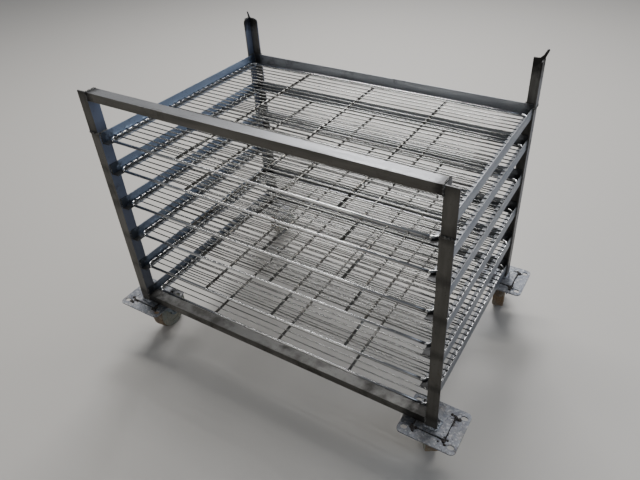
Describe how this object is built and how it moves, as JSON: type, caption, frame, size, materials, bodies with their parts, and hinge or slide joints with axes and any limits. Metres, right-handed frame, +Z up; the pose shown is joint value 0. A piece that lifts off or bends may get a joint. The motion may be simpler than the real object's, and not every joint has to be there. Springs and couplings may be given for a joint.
{
  "type": "wire shelf rack trolley",
  "caption": "Low welded steel rack on swivel castors, with lift-in wire shelves on angle runners; grimy and tarnished, rear uprights torn off",
  "frame": {"origin": "middle of the trolley's bounding box at floor level, with its castors as they stand", "axes": "+X to the right across the shelves as seen from the open front, +Y from the front to the back, +Z up"},
  "size_m": [0.726, 0.5138, 0.579],
  "materials": {
    "frame_steel": "bare mild steel, grimy and stained dark brown, with weld scorch",
    "burnt_steel": "bare mild steel, scorched dark and grimy",
    "runner_steel": "thin mild steel sheet with a blue-grey tarnish, dull top edges and spots of grime",
    "shelf_wire": "bare bright wire, worn, with black specks where wires cross",
    "plated_steel": "mottled zinc plating with black weld beads and brown stains",
    "castor_steel": "dull zinc plating gone dark blue-grey",
    "wheel_centre": "grey-green moulded plastic, dusty",
    "tyre": "hard tread, browned with dirt"
  },
  "bodies": {
    "frame": {"front_left_post": "frame_steel", "front_right_post": "frame_steel", "rear_left_post": "frame_steel", "rear_right_post": "frame_steel", "front_left_upright": "burnt_steel", "front_right_upright": "burnt_steel", "rear_left_upright": "burnt_steel", "rear_right_upright": "burnt_steel", "top_bar": "burnt_steel", "bottom_rail": "frame_steel", "left_runner_1": "runner_steel", "left_runner_2": "runner_steel", "left_runner_3": "runner_steel", "left_runner_4": "runner_steel", "left_runner_5": "runner_steel", "left_runner_6": "runner_steel", "right_runner_1": "runner_steel", "right_runner_2": "runner_steel", "right_runner_3": "runner_steel", "right_runner_4": "runner_steel", "right_runner_5": "runner_steel", "right_runner_6": "runner_steel", "back_rail_1": "runner_steel", "back_rail_2": "runner_steel", "back_rail_3": "runner_steel", "back_rail_4": "runner_steel", "back_rail_5": "runner_steel", "back_rail_6": "runner_steel", "foot_plates": "plated_steel", "kingpins": "castor_steel", "swivel_balls": "castor_steel", "front_left_castor_plate": "plated_steel", "front_right_castor_plate": "plated_steel", "rear_left_castor_plate": "plated_steel", "rear_right_castor_plate": "plated_steel", "shelf_6": "shelf_wire"},
    "front_left_castor": {"front_left_fork": "castor_steel", "front_left_axle": "castor_steel"},
    "front_left_roller": {"front_left_wheel": "wheel_centre", "front_left_tyre": "tyre"},
    "front_right_castor": {"front_right_fork": "castor_steel", "front_right_axle": "castor_steel"},
    "front_right_roller": {"front_right_wheel": "wheel_centre", "front_right_tyre": "tyre"},
    "rear_left_castor": {"rear_left_fork": "castor_steel", "rear_left_axle": "castor_steel"},
    "rear_left_roller": {"rear_left_wheel": "wheel_centre", "rear_left_tyre": "tyre"},
    "rear_right_castor": {"rear_right_fork": "castor_steel", "rear_right_axle": "castor_steel"},
    "rear_right_roller": {"rear_right_wheel": "wheel_centre", "rear_right_tyre": "tyre"},
    "shelf_1": {"shelf_1": "shelf_wire"},
    "shelf_2": {"shelf_2": "shelf_wire"},
    "shelf_3": {"shelf_3": "shelf_wire"},
    "shelf_4": {"shelf_4": "shelf_wire"},
    "shelf_5": {"shelf_5": "shelf_wire"}
  },
  "joints": [
    {"name": "front_left_swivel", "type": "hinge", "parent": "frame", "child": "front_left_castor", "pos_m": [-0.313, -0.21445, 0.088], "axis": [0, 0, 1], "continuous": true},
    {"name": "front_left_roll", "type": "hinge", "parent": "front_left_castor", "child": "front_left_roller", "pos_m": [-0.31787, -0.17979, 0.04], "axis": [0.9903, 0.1392, 0], "continuous": true},
    {"name": "front_right_swivel", "type": "hinge", "parent": "frame", "child": "front_right_castor", "pos_m": [0.313, -0.21445, 0.088], "axis": [0, 0, 1], "continuous": true},
    {"name": "front_right_roll", "type": "hinge", "parent": "front_right_castor", "child": "front_right_roller", "pos_m": [0.2955, -0.18414, 0.04], "axis": [0.866, 0.5, 0], "continuous": true},
    {"name": "rear_left_swivel", "type": "hinge", "parent": "frame", "child": "rear_left_castor", "pos_m": [-0.2955, 0.18155, 0.088], "axis": [0, 0, 1], "continuous": true},
    {"name": "rear_left_roll", "type": "hinge", "parent": "rear_left_castor", "child": "rear_left_roller", "pos_m": [-0.2955, 0.21655, 0.04], "axis": [1, 0, 0], "continuous": true},
    {"name": "rear_right_swivel", "type": "hinge", "parent": "frame", "child": "rear_right_castor", "pos_m": [0.2955, 0.18155, 0.088], "axis": [0, 0, 1], "continuous": true},
    {"name": "rear_right_roll", "type": "hinge", "parent": "rear_right_castor", "child": "rear_right_roller", "pos_m": [0.28882, 0.21591, 0.04], "axis": [0.9816, 0.1908, 0], "continuous": true},
    {"name": "shelf_1_slide", "type": "slide", "parent": "frame", "child": "shelf_1", "axis": [0, -1, 0], "range_m": [0, 0.3]},
    {"name": "shelf_2_slide", "type": "slide", "parent": "frame", "child": "shelf_2", "axis": [0, -1, 0], "range_m": [0, 0.3]},
    {"name": "shelf_3_slide", "type": "slide", "parent": "frame", "child": "shelf_3", "axis": [0, -1, 0], "range_m": [0, 0.3]},
    {"name": "shelf_4_slide", "type": "slide", "parent": "frame", "child": "shelf_4", "axis": [0, -1, 0], "range_m": [0, 0.3]},
    {"name": "shelf_5_slide", "type": "slide", "parent": "frame", "child": "shelf_5", "axis": [0, -1, 0], "range_m": [0, 0.3]}
  ]
}
